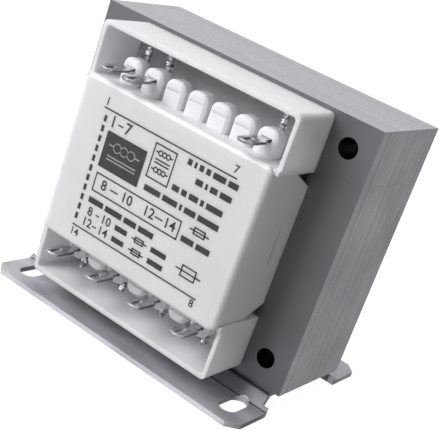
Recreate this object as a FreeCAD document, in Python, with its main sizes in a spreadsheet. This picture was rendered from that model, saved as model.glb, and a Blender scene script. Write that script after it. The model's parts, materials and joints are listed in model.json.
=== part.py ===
import FreeCAD, Part
import math
import os
import Sketcher

# Open chassis transformer: welded E and I lamination stacks on a joggled steel mounting plate, and a
# moulded two-chamber coil former whose upper and lower terminal boxes face the front, with a winding
# cover between them. The bodies are drawn about the centre of the core: +X along the core, -Y to the
# front, +Z up. Each is then placed so that the feet stand on Z = 0. Lengths are in millimetres.

Vector = FreeCAD.Vector

SIZES = {
    # core
    "core_length": 60.0,
    "core_height": 50.0,
    "stack_depth": 21.5,
    "limb_width": 10.0,
    "tongue_width": 20.0,
    "core_hole_bore": 3.6,
    "core_hole_inset": 5.0,
    # mounting plate
    "plate_thickness": 1.0,
    "foot_drop": 3.08,
    "foot_inset": 0.3,
    "foot_reach": 11.8,
    "foot_corner_cut": 2.15,
    "waist_inset": 1.6,
    "waist_relief": 1.5,
    "joggle_start": 0.3,
    "joggle_run": 1.7,
    "bend_radius": 0.4,
    "slot_width": 3.6,
    "slot_length": 7.2,
    "slot_reach": 5.25,
    "slot_inset": 4.8,
    "bead_radius": 0.8,
    "bead_length": 6.0,
    "bead_inset": 2.0,
    # coil former
    "former_wall": 0.9,
    "former_clearance": 0.25,
    "flange_thickness": 0.9,
    "flange_end_gap": 0.25,
    "flange_side_gap": 0.3,
    "flange_corner": 2.5,
    "partition_thickness": 1.2,
    "rear_reach": 9.4,
    "box_width": 41.8,
    "box_reach": 11.25,
    "box_side_wall": 0.75,
    "box_roof": 0.9,
    "box_margin": 0.7,
    "box_corner": 1.0,
    "pin_count": 7.0,
    "pin_pitch": 4.95,
    "peg_width": 4.1,
    "peg_height": 4.6,
    "peg_depth": 2.9,
    "peg_reach": 8.4,
    "peg_crown": 1.6,
    "peg_edge_cut": 0.5,
    "lead_hole_bore": 1.2,
    "lead_hole_reach": 4.1,
    # solder lugs
    "lug_thickness": 0.5,
    "lug_level": 2.75,
    "lug_fit": 0.05,
    "lug_tip_reach": 15.7,
    "lug_shoulder_reach": 10.4,
    "lug_post_reach": 5.0,
    "tab_width": 3.0,
    "neck_width": 2.0,
    "eyelet_length": 2.6,
    "eyelet_width": 1.0,
    "eyelet_margin": 0.7,
    "post_width": 1.0,
    "post_rise": 4.3,
    # soldered leads
    "lead_bore": 0.55,
    "wrap_radius": 0.95,
    "wrap_start": 1.9,
    # winding cover
    "cover_reach": 13.0,
    "cover_wall": 1.0,
    "cover_overlap": 0.35,
    "cover_front_width": 40.4,
    "cover_rear_width": 41.6,
    "cover_gap": 0.15,
    "cover_corner_cut": 1.0,
    "cover_edge_round": 0.9,
    "cover_heel_run": 5.0,
    "cover_heel_rise": 2.5,
    "latch_reach": 3.6,
    "latch_length": 7.0,
    "latch_width": 0.4,
    # windings and insulation
    "winding_gap": 0.05,
    "winding_end_gap": 0.1,
    "inner_corner": 0.5,
    "primary_margin": 1.55,
    "secondary_margin": 1.6,
    "insulation": 0.25,
    "tape": 0.25,
    "thermistor_radius": 3.2,
    "thermistor_thickness": 1.7,
    "thermistor_leg": 0.5,
}


class Dim:
    """A size worked out from the sheet: its number now, and the expression that gives it."""

    def __init__(self, value, text):
        self.value = value
        self.text = text

    def __add__(self, other):
        other = dim(other)
        return Dim(self.value + other.value, "(%s + %s)" % (self.text, other.text))

    def __sub__(self, other):
        other = dim(other)
        return Dim(self.value - other.value, "(%s - %s)" % (self.text, other.text))

    def __mul__(self, other):
        other = dim(other)
        return Dim(self.value * other.value, "(%s * %s)" % (self.text, other.text))

    def __truediv__(self, other):
        other = dim(other)
        return Dim(self.value / other.value, "(%s / %s)" % (self.text, other.text))

    def __neg__(self):
        return Dim(-self.value, "(0 - %s)" % self.text)

    def root(self):
        return Dim(math.sqrt(self.value), "sqrt(%s)" % self.text)


def dim(size):
    """A plain number as a Dim; a Dim stays as it is."""
    if isinstance(size, Dim):
        return size
    return Dim(float(size), repr(float(size)))


doc = FreeCAD.newDocument("chassis_transformer")
sheet = doc.addObject("Spreadsheet::Sheet", "sizes")
for row, (alias, size) in enumerate(SIZES.items(), start=1):
    sheet.set("A%d" % row, alias)
    sheet.set("B%d" % row, str(size))
    sheet.setAlias("B%d" % row, alias)
doc.recompute()


def cell(alias):
    """The sheet's value under this alias."""
    return Dim(float(getattr(sheet, alias)), "sizes." + alias)


# Values that several pieces share, all worked out from the sheet.
half_length = cell("core_length") / 2
half_height = cell("core_height") / 2
half_depth = cell("stack_depth") / 2
half_tongue = cell("tongue_width") / 2
limb_face = half_length - cell("limb_width")
window_top = half_height - cell("limb_width")
flange_outer = window_top - cell("flange_end_gap")
flange_inner = flange_outer - cell("flange_thickness")
flange_side = limb_face - cell("flange_side_gap")
bore_side = half_tongue + cell("former_clearance")
bore_front = half_depth + cell("former_clearance")
tube_side = bore_side + cell("former_wall")
tube_front = bore_front + cell("former_wall")
box_front = half_depth + cell("box_reach")
box_side = cell("box_width") / 2
box_top = half_height - cell("box_margin")
cover_front = half_depth + cell("cover_reach")
cover_inside = cover_front - cell("cover_wall")
cover_side_top = flange_inner - cell("cover_gap")
cover_top = flange_outer + cell("cover_overlap")
winding_space = limb_face - tube_side - cell("winding_gap") - cell("tape")
primary_build = winding_space - cell("primary_margin")
secondary_build = (winding_space - cell("insulation") - cell("secondary_margin")) / 2
lug_plane = flange_outer + cell("lug_level")
post_place = half_depth + cell("lug_post_reach")
lead_hole_place = half_depth + cell("lead_hole_reach")
foot_top = half_height + cell("foot_drop")
foot_front = half_depth + cell("foot_reach")
foot_side = half_length - cell("foot_inset")
waist_side = half_length - cell("waist_inset")
ride_height = foot_top + cell("plate_thickness")
front_shift = (cell("lug_tip_reach") - cell("foot_reach")) / 2


def pin_place(position):
    """X of a pin, counted from the middle of its row."""
    return cell("pin_pitch") * position


def set_size(target, name, size):
    """Bind one property or constraint to the sheet."""
    size = dim(size)
    if "sizes." in size.text:
        target.setExpression(name, size.text)
    else:
        setattr(target, name, size.value)


def seat(node):
    """Place a node, drawn about the core's centre, with the feet on the ground."""
    set_size(node, "Placement.Base.y", front_shift)
    set_size(node, "Placement.Base.z", ride_height)


NODES = []


def new_body(name):
    """A new body, listed for export under its own name."""
    body = doc.addObject("PartDesign::Body", name)
    body.Label = name
    NODES.append(body)
    return body


def origin_part(body, role):
    """One of the body's own origin planes or axes."""
    return [part for part in body.Origin.OriginFeatures if part.Role == role][0]


def new_sketch(body, name, role, offset=None):
    """An empty sketch on one of the body's origin planes, moved along its normal."""
    sketch = body.newObject("Sketcher::SketchObject", name)
    sketch.AttachmentSupport = [(origin_part(body, role), "")]
    sketch.MapMode = "FlatFace"
    if offset is not None:
        set_size(sketch, "AttachmentOffset.Base.z", offset)
    return sketch


def pin_point(sketch, index, corner, place):
    """Hold one point of a sketch at an X and Y taken from the sheet."""
    for kind, size in zip(("DistanceX", "DistanceY"), place):
        size = dim(size)
        held = sketch.addConstraint(Sketcher.Constraint(kind, -1, 1, index, corner, size.value))
        if "sizes." in size.text:
            sketch.setExpression("Constraints[%d]" % held, size.text)


def hold_radius(sketch, index, radius):
    """Hold the radius of a circle or arc at a value from the sheet."""
    held = sketch.addConstraint(Sketcher.Constraint("Radius", index, radius.value))
    sketch.setExpression("Constraints[%d]" % held, radius.text)


def polygon(body, name, role, corners, offset=None):
    """A sketch of one closed outline with straight sides."""
    sketch = new_sketch(body, name, role, offset)
    add_polygon(sketch, corners)
    return sketch


def add_polygon(sketch, corners):
    """Add one closed outline with straight sides to a sketch."""
    first = sketch.GeometryCount
    points = [Vector(dim(x).value, dim(y).value, 0) for x, y in corners]
    count = len(points)
    for index in range(count):
        sketch.addGeometry(Part.LineSegment(points[index], points[(index + 1) % count]))
    for index in range(count):
        following = first + (index + 1) % count
        sketch.addConstraint(Sketcher.Constraint("Coincident", first + index, 2, following, 1))
    for index in range(count):
        pin_point(sketch, first + index, 1, corners[index])


def rectangle(low, high):
    """The four corners of an upright rectangle between two opposite corners."""
    return [low, (high[0], low[1]), high, (low[0], high[1])]


def circle(body, name, role, centre, radius, offset=None):
    """A sketch of one circle."""
    sketch = new_sketch(body, name, role, offset)
    add_circle(sketch, centre, radius)
    return sketch


def add_circle(sketch, centre, radius):
    """Add one circle to a sketch."""
    index = sketch.GeometryCount
    middle = Vector(dim(centre[0]).value, dim(centre[1]).value, 0)
    sketch.addGeometry(Part.Circle(middle, Vector(0, 0, 1), radius.value))
    pin_point(sketch, index, 3, centre)
    hold_radius(sketch, index, radius)


def slot(body, name, role, low, high, radius, offset=None):
    """A sketch of one round-ended slot that runs up the sketch from centre low to centre high."""
    sketch = new_sketch(body, name, role, offset)
    turn = Vector(0, 0, 1)
    bottom = Vector(dim(low[0]).value, dim(low[1]).value, 0)
    top = Vector(dim(high[0]).value, dim(high[1]).value, 0)
    side = Vector(radius.value, 0, 0)
    sketch.addGeometry(Part.ArcOfCircle(Part.Circle(top, turn, radius.value), 0, math.pi))
    sketch.addGeometry(Part.LineSegment(top - side, bottom - side))
    sketch.addGeometry(Part.ArcOfCircle(Part.Circle(bottom, turn, radius.value), math.pi, 2 * math.pi))
    sketch.addGeometry(Part.LineSegment(bottom + side, top + side))
    for index in range(4):
        sketch.addConstraint(Sketcher.Constraint("Tangent", index, 2, (index + 1) % 4, 1))
    sketch.addConstraint(Sketcher.Constraint("Equal", 0, 2))
    pin_point(sketch, 0, 3, high)
    pin_point(sketch, 2, 3, low)
    hold_radius(sketch, 0, radius)
    return sketch


def pad(body, sketch, length, both_ways=False, backwards=False):
    """Raise a sketch into a solid."""
    feature = body.newObject("PartDesign::Pad", sketch.Name + "_pad")
    feature.Profile = sketch
    feature.SideType = "Symmetric" if both_ways else "One side"
    feature.Reversed = backwards
    set_size(feature, "Length", length)
    return feature


def cut_through(body, sketch):
    """Cut a sketch right through the body, both ways."""
    feature = body.newObject("PartDesign::Pocket", sketch.Name + "_cut")
    feature.Profile = sketch
    feature.SideType = "Symmetric"
    feature.Type = "ThroughAll"
    return feature


def cut_depth(body, sketch, depth, both_ways=False, backwards=False):
    """Cut a sketch to a stated depth."""
    feature = body.newObject("PartDesign::Pocket", sketch.Name + "_cut")
    feature.Profile = sketch
    feature.SideType = "Symmetric" if both_ways else "One side"
    feature.Reversed = backwards
    feature.Type = "Length"
    set_size(feature, "Length", depth)
    return feature


def mirror(body, originals, role):
    """Repeat features on the other side of one of the body's origin planes."""
    feature = body.newObject("PartDesign::Mirrored", originals[0].Name + "_mirror")
    feature.Originals = originals
    feature.MirrorPlane = (origin_part(body, role), [""])
    body.Tip = feature
    return feature


def edges_where(shape, wanted):
    """Names of the edges for which the test holds, given the edge and its middle."""
    names = []
    for index, edge in enumerate(shape.Edges, start=1):
        if wanted(edge, edge.CenterOfMass):
            names.append("Edge%d" % index)
    return names


def runs_along(edge, axis):
    """True for a straight edge that lies along the axis."""
    if edge.Curve.TypeId != "Part::GeomLine":
        return False
    return abs(abs(edge.Curve.Direction.dot(axis)) - 1) < 1e-6


def near(value, size):
    """True where a coordinate is at plus or minus a size."""
    return abs(abs(value) - size.value) < 0.01


# Pins in use above (1) and below (-1): their number, and the place counted from the middle of the row.
PINS = {1: {1: -3, 2: -2, 7: 3}, -1: {14: -3, 12: -1, 10: 1, 8: 3}}

X_AXIS = Vector(1, 0, 0)
Y_AXIS = Vector(0, 1, 0)
Z_AXIS = Vector(0, 0, 1)


def finish_edges(body, kind, size_name, size, wanted):
    """A fillet or chamfer on the edges of the body's tip that pass the test."""
    doc.recompute()
    base = body.Tip
    names = edges_where(base.Shape, wanted)
    feature = body.newObject("PartDesign::" + kind, "%s_%s_%d" % (body.Name, kind.lower(), len(body.Group)))
    feature.Base = (base, names)
    set_size(feature, size_name, size)
    return feature


def fillet(body, radius, wanted):
    """Round the edges that pass the test."""
    return finish_edges(body, "Fillet", "Radius", radius, wanted)


def chamfer(body, size, wanted):
    """Cut the edges that pass the test at 45 degrees."""
    return finish_edges(body, "Chamfer", "Size", size, wanted)


# Core. The E stack stands with its limbs up, and the I stack lies across their ends.
def core_holes(body, height):
    """The two corner holes of one lamination stack."""
    place = half_length - cell("core_hole_inset")
    radius = cell("core_hole_bore") / 2
    hole = cut_through(body, circle(body, body.Name + "_hole", "XZ_Plane", (place, height), radius))
    mirror(body, [hole], "YZ_Plane")


def e_stack():
    """E laminations, stacked along Y into one solid."""
    body = new_body("e_lamination_stack")
    right = [
        (half_length, -half_height),
        (half_length, window_top),
        (limb_face, window_top),
        (limb_face, -window_top),
        (half_tongue, -window_top),
        (half_tongue, window_top),
    ]
    left = [(-x, z) for x, z in reversed(right)]
    pad(body, polygon(body, "e_outline", "XZ_Plane", right + left), cell("stack_depth"), both_ways=True)
    core_holes(body, cell("core_hole_inset") - half_height)


def i_stack():
    """I laminations, stacked along Y into one solid."""
    body = new_body("i_lamination_stack")
    corners = rectangle((-half_length, window_top), (half_length, half_height))
    pad(body, polygon(body, "i_outline", "XZ_Plane", corners), cell("stack_depth"), both_ways=True)
    core_holes(body, half_height - cell("core_hole_inset"))


# Mounting plate: one sheet, flat under the core, joggled down to a slotted foot at the front and rear.
def mounting_plate():
    """The folded steel plate that carries the core."""
    body = new_body("mounting_plate")
    thickness = cell("plate_thickness")
    run = cell("joggle_run")
    drop = cell("foot_drop")
    slope = (run * run + drop * drop).root()
    set_back = thickness * (slope - run) / drop
    top_bend = half_depth + cell("joggle_start")
    low_bend = top_bend + run
    front = [
        (top_bend, -half_height),
        (low_bend, -foot_top),
        (foot_front, -foot_top),
        (foot_front, -ride_height),
        (low_bend - set_back, -ride_height),
        (top_bend - set_back, -half_height - thickness),
    ]
    rear = [(-y, z) for y, z in reversed(front)]
    pad(body, polygon(body, "plate_section", "YZ_Plane", front + rear), foot_side * 2, both_ways=True)

    def outer_bend(edge, place):
        at_top = abs(place.y) > half_depth.value and abs(place.z + half_height.value) < 0.01
        at_foot = abs(place.z + ride_height.value) < 0.01 and abs(place.y) < low_bend.value
        return runs_along(edge, X_AXIS) and (at_top or at_foot)

    def inner_bend(edge, place):
        at_top = near(place.z, half_height + thickness)
        at_foot = near(place.z, foot_top) and abs(place.y) < low_bend.value + 0.01
        return runs_along(edge, X_AXIS) and (at_top or at_foot)

    fillet(body, cell("bend_radius") + thickness, outer_bend)
    fillet(body, cell("bend_radius"), inner_bend)

    relief = half_depth + cell("waist_relief")
    side = rectangle((waist_side, -relief), (foot_side + thickness, relief))
    notch = cut_through(body, polygon(body, "waist_notch", "XY_Plane", side))
    mirror(body, [notch], "YZ_Plane")

    radius = cell("slot_width") / 2
    straight = cell("slot_length") / 2 - radius
    across = foot_side - cell("slot_inset")
    middle = half_depth + cell("slot_reach")
    low = (across, middle - straight)
    high = (across, middle + straight)
    right = cut_through(body, slot(body, "rear_slot", "XY_Plane", low, high, radius))
    low = (across, -middle - straight)
    high = (across, straight - middle)
    left = cut_through(body, slot(body, "front_slot", "XY_Plane", low, high, radius))
    mirror(body, [right, left], "YZ_Plane")

    def foot_corner(edge, place):
        return runs_along(edge, Z_AXIS) and near(place.y, foot_front)

    chamfer(body, cell("foot_corner_cut"), foot_corner)


def plate_welds():
    """Four weld beads in the corners between the plate's sides and the core's underside."""
    beads = []
    reach = half_depth - cell("bead_inset") - cell("bead_length")
    for side in (-1, 1):
        for end in (-1, 1):
            bead = doc.addObject("Part::Cylinder", "bead_%d" % (len(beads) + 1))
            set_size(bead, "Radius", cell("bead_radius"))
            set_size(bead, "Height", cell("bead_length"))
            bead.Angle = 90
            # A quarter round along Y that fills the corner below the core and outside the plate.
            start = reach + cell("bead_length") if end > 0 else -reach
            turn = FreeCAD.Rotation(Z_AXIS, -90 if side > 0 else 180)
            bead.Placement.Rotation = FreeCAD.Rotation(X_AXIS, 90) * turn
            set_size(bead, "Placement.Base.x", waist_side * side)
            set_size(bead, "Placement.Base.y", start)
            set_size(bead, "Placement.Base.z", -half_height)
            beads.append(bead)
    group = doc.addObject("Part::Compound", "plate_welds")
    group.Label = "plate_welds"
    group.Links = beads
    NODES.append(group)


# Coil former: one moulding, with a bobbin round the centre limb and a terminal box above and below.
def pin_row(body, side, half_slit, half_gap, peg_top, peg_front):
    """One box's row of pegs; those in use have a slit and a lead hole. Side is 1 above, -1 below."""
    name = "upper" if side > 0 else "lower"
    first = pin_place((1 - cell("pin_count").value) / 2)
    half_peg = cell("peg_width") / 2

    low = (first - half_peg, flange_outer * side)
    high = (first + half_peg, peg_top * side)
    face = polygon(body, name + "_peg_face", "XZ_Plane", rectangle(low, high), peg_front)
    peg = pad(body, face, cell("peg_depth"), backwards=True)

    row = body.newObject("PartDesign::LinearPattern", name + "_pegs")
    row.Originals = [peg]
    row.Direction = (origin_part(body, "X_Axis"), [""])
    pins = int(cell("pin_count").value)
    set_size(row, "Length", cell("pin_pitch") * (pins - 1))
    row.Occurrences = pins
    body.Tip = row

    slits = new_sketch(body, name + "_slits", "XZ_Plane", peg_front)
    holes = new_sketch(body, name + "_lead_holes", "XY_Plane", flange_outer * side)
    for position in PINS[side].values():
        x = pin_place(position)
        low = (x - half_slit, lug_plane * side - half_gap)
        high = (x + half_slit, lug_plane * side + half_gap)
        add_polygon(slits, rectangle(low, high))
        add_circle(holes, (x, -lead_hole_place), cell("lead_hole_bore") / 2)
    cut_depth(body, slits, cell("peg_depth"))
    cut_depth(body, holes, cell("flange_thickness"), backwards=side < 0)


def coil_former():
    """The bobbin, its two terminal boxes and their rows of lug pegs."""
    body = new_body("coil_former")
    tube = rectangle((-tube_side, -tube_front), (tube_side, tube_front))
    pad(body, polygon(body, "tube_plan", "XY_Plane", tube), flange_outer * 2, both_ways=True)

    def tube_corner(edge, place):
        return runs_along(edge, Z_AXIS)

    fillet(body, cell("inner_corner"), tube_corner)

    rear = half_depth + cell("rear_reach")
    front = -(cover_inside - cell("cover_gap"))
    shoulder = -(half_depth + cell("cover_gap"))
    plan = [
        (-box_side, front),
        (box_side, front),
        (box_side, shoulder),
        (flange_side, shoulder),
        (flange_side, rear),
        (-flange_side, rear),
        (-flange_side, shoulder),
        (-box_side, shoulder),
    ]
    top_flange = pad(body, polygon(body, "flange_plan", "XY_Plane", plan, flange_inner), cell("flange_thickness"))

    narrow = cell("cover_front_width") / 2 - cell("cover_wall") - cell("cover_gap")
    middle = [
        (-narrow, -rear),
        (narrow, -rear),
        (narrow, shoulder),
        (flange_side, shoulder),
        (flange_side, rear),
        (-flange_side, rear),
        (-flange_side, shoulder),
        (-narrow, shoulder),
    ]
    pad(body, polygon(body, "partition_plan", "XY_Plane", middle), cell("partition_thickness"), both_ways=True)

    bore = rectangle((-bore_side, -bore_front), (bore_side, bore_front))
    bore_cut = polygon(body, "core_bore", "XY_Plane", bore)

    # The box is a ring in front view, from its front plane back to the core's face.
    outer = rectangle((-box_side, flange_inner), (box_side, box_top))
    box = pad(body, polygon(body, "box_front", "XZ_Plane", outer, half_depth), cell("box_reach"))
    inner_side = box_side - cell("box_side_wall")
    inner = rectangle((-inner_side, flange_outer), (inner_side, box_top - cell("box_roof")))
    cavity_sketch = polygon(body, "box_cavity", "XZ_Plane", inner, half_depth)
    cavity = cut_depth(body, cavity_sketch, cell("cover_reach"), backwards=True)

    mirror(body, [top_flange, box, cavity], "XY_Plane")
    cut_depth(body, bore_cut, flange_outer * 2, both_ways=True)

    half_slit = cell("neck_width") / 2 + cell("lug_fit")
    half_gap = cell("lug_thickness") / 2 + cell("lug_fit")
    peg_top = flange_outer + cell("peg_height")
    peg_front = half_depth + cell("peg_reach")
    for side in (1, -1):
        pin_row(body, side, half_slit, half_gap, peg_top, peg_front)

    def box_edge(edge, place):
        return runs_along(edge, Y_AXIS) and near(place.x, box_side) and near(place.z, box_top)

    def cavity_edge(edge, place):
        return runs_along(edge, Y_AXIS) and near(place.x, inner_side) and abs(place.z) > flange_inner.value

    def flange_corner(edge, place):
        return runs_along(edge, Z_AXIS) and near(place.x, flange_side) and abs(place.y - rear.value) < 0.01

    def crown_edge(edge, place):
        return runs_along(edge, Y_AXIS) and near(place.z, peg_top)

    def peg_edge(edge, place):
        at_face = abs(place.y + peg_front.value) < 0.01
        above_floor = abs(place.z) > flange_outer.value + 0.01
        off_slit = abs(abs(place.z) - lug_plane.value) > half_gap.value + 0.01
        return at_face and above_floor and off_slit

    fillet(body, cell("box_corner"), box_edge)
    fillet(body, cell("box_corner") - cell("box_side_wall") / 2, cavity_edge)
    fillet(body, cell("flange_corner"), flange_corner)
    fillet(body, cell("peg_crown"), crown_edge)
    chamfer(body, cell("peg_edge_cut"), peg_edge)


# Winding cover: a thin U in plan that closes the front of the windings between the two boxes.
def winding_cover():
    """The moulded cover over the front of the windings."""
    body = new_body("winding_cover")
    wall = cell("cover_wall")
    front_side = cell("cover_front_width") / 2
    rear_side = cell("cover_rear_width") / 2
    plan = [
        (-rear_side, -half_depth),
        (-front_side, -cover_front),
        (front_side, -cover_front),
        (rear_side, -half_depth),
    ]
    pad(body, polygon(body, "cover_block", "XY_Plane", plan), cover_top * 2, both_ways=True)

    def panel_corner(edge, place):
        return near(place.z, cover_top) and abs(place.x) > front_side.value and edge.Length < rear_side.value

    def front_edge(edge, place):
        return abs(place.y + cover_front.value) < 0.01

    chamfer(body, cell("cover_corner_cut"), panel_corner)
    fillet(body, cell("cover_edge_round"), front_edge)

    hollow = [
        (wall - rear_side, wall - half_depth),
        (wall - front_side, -cover_inside),
        (front_side - wall, -cover_inside),
        (rear_side - wall, wall - half_depth),
    ]
    cut_through(body, polygon(body, "cover_hollow", "XY_Plane", hollow))

    # Above and below, the side walls stop short of the boxes and slope in towards the core.
    heel = half_depth + cell("cover_heel_run")
    heel_top = cover_side_top - cell("cover_heel_rise")
    past_top = cover_top + wall
    past_rear = half_depth - wall
    side = [
        (-cover_inside, past_top),
        (-cover_inside, cover_side_top),
        (-heel, cover_side_top),
        (-half_depth, heel_top),
        (-past_rear, heel_top),
        (-past_rear, past_top),
    ]
    trim = cut_through(body, polygon(body, "cover_side", "YZ_Plane", side))
    mirror(body, [trim], "XY_Plane")

    radius = cell("latch_width") / 2
    place = -(half_depth + cell("latch_reach"))
    reach = cell("latch_length") / 2 - radius
    cut_through(body, slot(body, "latch_slit", "YZ_Plane", (place, -reach), (place, reach), radius))


# Windings: closed rings of wire and tape round the former's tube, primary above and secondary below.
def ring(name, inner_side, inner_front, build, low, high):
    """A ring with rounded corners between two heights, built outwards from an inner rectangle."""
    body = new_body(name)
    outer = rectangle((-inner_side - build, -inner_front - build), (inner_side + build, inner_front + build))
    pad(body, polygon(body, name + "_plan", "XY_Plane", outer, low), high - low)
    corner = build + cell("inner_corner")

    def outer_corner(edge, place):
        return runs_along(edge, Z_AXIS)

    fillet(body, corner, outer_corner)
    inner = rectangle((-inner_side, -inner_front), (inner_side, inner_front))
    cut_through(body, polygon(body, name + "_bore", "XY_Plane", inner))

    def inner_corner(edge, place):
        return runs_along(edge, Z_AXIS) and near(place.x, inner_side) and near(place.y, inner_front)

    fillet(body, cell("inner_corner"), inner_corner)


def windings():
    """Primary in the upper chamber, two secondaries with insulation between them in the lower one."""
    gap = cell("winding_gap")
    floor = cell("partition_thickness") / 2 + cell("winding_end_gap")
    ceiling = flange_inner - cell("winding_end_gap")
    layers = [
        ("primary_winding", primary_build, 1),
        ("primary_tape", cell("tape"), 1),
        ("secondary_winding_1", secondary_build, -1),
        ("secondary_insulation", cell("insulation"), -1),
        ("secondary_winding_2", secondary_build, -1),
        ("secondary_tape", cell("tape"), -1),
    ]
    built = {1: gap, -1: gap}
    for name, build, chamber in layers:
        low = floor if chamber > 0 else -ceiling
        high = ceiling if chamber > 0 else -floor
        ring(name, tube_side + built[chamber], tube_front + built[chamber], build, low, high)
        built[chamber] = built[chamber] + build


def thermistor():
    """A disc with two legs, on the front of the taped primary winding."""
    body = new_body("thermistor")
    ceiling = flange_inner - cell("winding_end_gap")
    middle = (cell("partition_thickness") / 2 + ceiling) / 2
    face = tube_front + cell("winding_gap") * 2 + primary_build + cell("tape")
    radius = cell("thermistor_radius")
    disc = circle(body, "disc_face", "XZ_Plane", (0, middle), radius, face)
    pad(body, disc, cell("thermistor_thickness"))
    centre = -(face + cell("thermistor_thickness") / 2)
    for side in (-1, 1):
        place = (radius / 2 * side, centre)
        leg = circle(body, "leg_%d" % (side + 2), "XY_Plane", place, cell("thermistor_leg") / 2, middle)
        pad(body, leg, ceiling - middle)


# Solder lugs: a tab with an eyelet ahead of the peg, a neck through its slit and a post behind it.
def lug(number, position, side):
    """One stamped lug; side is 1 in the upper box and -1 in the lower box."""
    body = new_body("lug_%d" % number)
    x = pin_place(position)
    tip = half_depth + cell("lug_tip_reach")
    shoulder = half_depth + cell("lug_shoulder_reach")
    half_tab = cell("tab_width") / 2
    half_neck = cell("neck_width") / 2
    half_post = cell("post_width") / 2
    outline = [
        (x - half_tab, -tip),
        (x + half_tab, -tip),
        (x + half_tab, -shoulder),
        (x + half_neck, -shoulder),
        (x + half_post, -post_place),
        (x - half_post, -post_place),
        (x - half_neck, -shoulder),
        (x - half_tab, -shoulder),
    ]
    level = lug_plane * side
    thickness = cell("lug_thickness")
    pad(body, polygon(body, "tab", "XY_Plane", outline, level), thickness, both_ways=True)

    radius = cell("eyelet_width") / 2
    front_centre = cell("eyelet_margin") + radius - tip
    rear_centre = front_centre + cell("eyelet_length") - radius * 2
    eyelet = slot(body, "eyelet", "XY_Plane", (x, front_centre), (x, rear_centre), radius, level)
    cut_depth(body, eyelet, thickness * 2, both_ways=True)

    root = rectangle((x - half_post, -post_place), (x + half_post, thickness - post_place))
    start = level - thickness / 2 * side
    post = polygon(body, "post", "XY_Plane", root, start)
    pad(body, post, cell("post_rise") + thickness / 2, backwards=side < 0)

    def tip_corner(edge, place):
        return runs_along(edge, Z_AXIS) and abs(place.y + tip.value) < 0.01

    fillet(body, half_tab * 0.9, tip_corner)


def lead(number, position, side):
    """The end of a winding wire: up through the flange, then into the solder round the post."""
    thickness = cell("lug_thickness").value
    wire = cell("lead_bore").value / 2
    radius = cell("wrap_radius").value
    x = pin_place(position).value
    post_y = thickness / 2 - post_place.value
    hole_y = -lead_hole_place.value
    start_z = lug_plane.value + cell("wrap_start").value
    end_z = lug_plane.value + cell("post_rise").value
    coil_z = flange_inner.value - cell("winding_end_gap").value

    # A sleeve of solder over the turns of wire, closed above the post's end.
    sleeve = Part.makeCylinder(radius, end_z + wire - start_z, Vector(x, post_y, start_z))
    rise = Part.makeCylinder(wire, start_z + wire - coil_z, Vector(x, hole_y, coil_z))
    solid = sleeve.fuse(rise)
    half_post = cell("post_width").value / 2
    corner = Vector(x - half_post, -post_place.value, lug_plane.value - thickness)
    post = Part.makeBox(half_post * 2, thickness, cell("post_rise").value + thickness, corner)
    solid = solid.cut(post)
    if side < 0:
        solid = solid.mirror(Vector(0, 0, 0), Z_AXIS)
    node = doc.addObject("Part::Feature", "lead_%d" % number)
    node.Label = node.Name
    node.Shape = solid
    NODES.append(node)


def build():
    """Make every node in turn and seat them all together."""
    e_stack()
    i_stack()
    mounting_plate()
    plate_welds()
    coil_former()
    winding_cover()
    windings()
    thermistor()
    for side, pins in PINS.items():
        for number, position in pins.items():
            lug(number, position, side)
            lead(number, position, side)
    for node in NODES:
        seat(node)
    doc.recompute()


def export():
    """Check every object and node, and write one file for each node."""
    for item in doc.Objects:
        if "Invalid" in item.State or "Error" in item.State:
            raise RuntimeError("%s: %s" % (item.Label, item.State))
    for node in NODES:
        if node.Shape.isNull() or not node.Shape.isValid():
            raise RuntimeError("%s has no valid shape" % node.Label)
    os.makedirs("parts", exist_ok=True)
    for node in NODES:
        node.Shape.exportStep("parts/%s.step" % node.Label)
        box = node.Shape.BoundBox
        print(node.Label, len(node.Shape.Solids), round(node.Shape.Volume, 1), box)


build()
export()
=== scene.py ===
import json
import logging
import math
import random
from collections.abc import Callable, Iterator
from contextlib import contextmanager
from dataclasses import dataclass, field
from enum import Enum

import bpy
from mathutils import Matrix, Vector

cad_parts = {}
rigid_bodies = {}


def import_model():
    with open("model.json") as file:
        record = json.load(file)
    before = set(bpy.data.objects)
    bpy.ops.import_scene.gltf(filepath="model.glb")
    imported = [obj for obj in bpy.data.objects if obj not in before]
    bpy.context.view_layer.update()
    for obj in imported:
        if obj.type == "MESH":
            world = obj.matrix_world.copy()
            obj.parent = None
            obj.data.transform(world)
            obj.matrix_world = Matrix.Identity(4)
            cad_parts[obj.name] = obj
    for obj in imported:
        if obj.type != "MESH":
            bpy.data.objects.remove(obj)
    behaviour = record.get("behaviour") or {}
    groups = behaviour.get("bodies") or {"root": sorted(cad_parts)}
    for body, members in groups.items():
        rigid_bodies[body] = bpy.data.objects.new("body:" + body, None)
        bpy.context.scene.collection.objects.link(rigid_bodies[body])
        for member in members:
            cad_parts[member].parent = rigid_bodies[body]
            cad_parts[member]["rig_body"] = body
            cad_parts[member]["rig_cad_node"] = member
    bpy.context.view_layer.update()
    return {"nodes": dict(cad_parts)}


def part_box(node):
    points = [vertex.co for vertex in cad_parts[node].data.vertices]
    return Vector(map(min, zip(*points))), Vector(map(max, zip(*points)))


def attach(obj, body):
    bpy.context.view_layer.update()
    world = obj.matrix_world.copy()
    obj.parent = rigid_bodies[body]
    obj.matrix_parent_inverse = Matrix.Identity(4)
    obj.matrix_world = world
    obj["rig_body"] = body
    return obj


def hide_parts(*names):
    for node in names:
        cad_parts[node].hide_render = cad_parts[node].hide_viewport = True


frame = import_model()

LOG = logging.getLogger("transformer")
MM = 0.001
BODY = "root"
UPRIGHT = (math.pi / 2, 0.0, 0.0)
MERGE_REACH = 0.002 * MM
FLAT_ANGLE = math.radians(1.0)


class Row(Enum):
    """The two rows of solder lugs."""

    UPPER = 1
    LOWER = -1


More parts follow.
